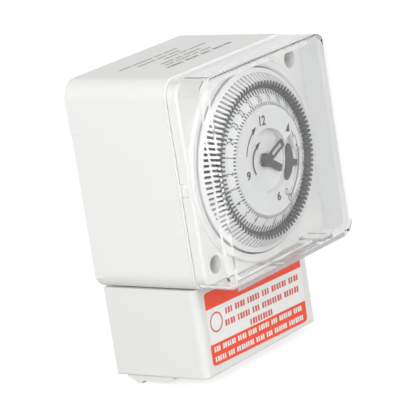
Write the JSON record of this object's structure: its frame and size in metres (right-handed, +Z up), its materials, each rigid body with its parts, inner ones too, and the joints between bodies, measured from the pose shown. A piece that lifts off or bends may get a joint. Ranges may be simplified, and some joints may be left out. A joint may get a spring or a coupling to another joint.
{
  "type": "plug-in time switch",
  "caption": "Square wall-mounted time switch with a day dial, a ring of sliding tappets, clock hands, a mode lever, a clear cover and a covered terminal chamber below.",
  "frame": {"origin": "on the dial's axis, at the wall plane behind the housing", "axes": "+Z up, +X right as seen from the front, the front faces -Y"},
  "size_m": [0.072, 0.0576, 0.1065],
  "materials": {
    "housing": "fine satin, pale grey-white",
    "terminal_plastic": "fine satin, pale warm grey",
    "bezel": "satin",
    "case": "moulded, plain",
    "clear": "clear moulded plastic",
    "dial": "satin, printed",
    "face": "satin, printed",
    "tappet": "satin, dark grey",
    "lever": "satin, dark grey",
    "hands": "satin, dark grey",
    "gear": "natural moulded",
    "steel": "plated",
    "plate": "rolled",
    "brass": "bright",
    "copper": "enamelled winding",
    "rotor": "moulded"
  },
  "bodies": {
    "base": {"base_housing": "housing", "terminal_block": "terminal_plastic", "clamp_cages": "steel", "terminal_screws": "steel", "contact_strips": "brass"},
    "module": {"module_case": "case", "bezel": "bezel", "module_screws": "steel", "motor_blades": "brass", "switch_blades": "brass", "rear_plate": "plate", "front_plate": "plate", "plate_pillars": "steel", "motor_can": "steel", "motor_coil": "copper", "motor_leads": "copper", "switch_body": "case", "face_carrier": "face", "centre_face": "face"},
    "terminal_lid": {"terminal_cover": "terminal_plastic"},
    "front_lid": {"clear_cover": "clear"},
    "dial": {"dial_drum": "dial", "hour_scale": "dial", "tappets": "tappet"},
    "tappet_a": {"tappet_1": "tappet"},
    "tappet_b": {"tappet_2": "tappet"},
    "tappet_c": {"tappet_3": "tappet"},
    "tappet_d": {"tappet_4": "tappet"},
    "minute": {"minute_arbor": "steel", "minute_wheel": "brass", "minute_hand": "hands"},
    "hour": {"hour_wheel": "gear", "hour_hand": "hands"},
    "intermediate": {"intermediate_wheel": "gear"},
    "transfer": {"transfer_wheel": "gear"},
    "rotor": {"motor_rotor": "rotor"},
    "mode": {"mode_lever": "lever", "mode_cam": "lever"},
    "follower": {"follower_lever": "lever"},
    "plunger": {"switch_plunger": "lever"}
  },
  "joints": [
    {"name": "minute_turn", "type": "hinge", "parent": "module", "child": "minute", "pos_m": [0, 0, 0], "axis": [0, 1, 0], "continuous": true},
    {"name": "hour_turn", "type": "hinge", "parent": "module", "child": "hour", "pos_m": [0, 0, 0], "axis": [0, 1, 0], "continuous": true},
    {"name": "dial_turn", "type": "hinge", "parent": "module", "child": "dial", "pos_m": [0, 0, 0], "axis": [0, 1, 0], "continuous": true},
    {"name": "intermediate_turn", "type": "hinge", "parent": "module", "child": "intermediate", "pos_m": [-0.012, 0, 0], "axis": [0, 1, 0], "continuous": true},
    {"name": "transfer_turn", "type": "hinge", "parent": "module", "child": "transfer", "pos_m": [0, 0, 0.012], "axis": [0, 1, 0], "continuous": true},
    {"name": "rotor_turn", "type": "hinge", "parent": "module", "child": "rotor", "pos_m": [-0.00919, 0, -0.00919], "axis": [0, 1, 0], "continuous": true},
    {"name": "mode_turn", "type": "hinge", "parent": "module", "child": "mode", "pos_m": [0, 0, 0], "axis": [0, 1, 0], "range_deg": [-12, 12]},
    {"name": "follower_press", "type": "hinge", "parent": "module", "child": "follower", "pos_m": [-0.016, 0, -0.021], "axis": [0, 1, 0], "range_deg": [0, 3.5], "stiffness_Nm_per_rad": 0.02, "springref_deg": -2.86},
    {"name": "plunger_press", "type": "slide", "parent": "module", "child": "plunger", "axis": [0, 0, -1], "range_m": [0, 0.0011]},
    {"name": "module_pull", "type": "slide", "parent": "base", "child": "module", "axis": [0, -1, 0], "range_m": [0, 0.045]},
    {"name": "terminal_lid_pull", "type": "slide", "parent": "base", "child": "terminal_lid", "axis": [0, -1, 0], "range_m": [0, 0.045]},
    {"name": "front_lid_pull", "type": "slide", "parent": "module", "child": "front_lid", "axis": [0, -1, 0], "range_m": [0, 0.02]},
    {"name": "tappet_a_slide", "type": "slide", "parent": "dial", "child": "tappet_a", "axis": [0.0711, 0, 0.9975], "range_m": [0, 0.0023]},
    {"name": "tappet_b_slide", "type": "slide", "parent": "dial", "child": "tappet_b", "axis": [0.1361, 0, 0.9907], "range_m": [0, 0.0023]},
    {"name": "tappet_c_slide", "type": "slide", "parent": "dial", "child": "tappet_c", "axis": [0.2006, 0, 0.9797], "range_m": [0, 0.0023]},
    {"name": "tappet_d_slide", "type": "slide", "parent": "dial", "child": "tappet_d", "axis": [0.2643, 0, 0.9644], "range_m": [0, 0.0023]}
  ],
  "couplings": [
    {"joint": "hour_turn", "follows": "minute_turn", "ratio": 0.083333},
    {"joint": "dial_turn", "follows": "minute_turn", "ratio": 0.041667},
    {"joint": "intermediate_turn", "follows": "minute_turn", "ratio": -0.33333},
    {"joint": "transfer_turn", "follows": "minute_turn", "ratio": -0.083333},
    {"joint": "rotor_turn", "follows": "minute_turn", "ratio": -3.3333},
    {"joint": "plunger_press", "follows": "follower_press", "m_per_rad": 0.018}
  ]
}
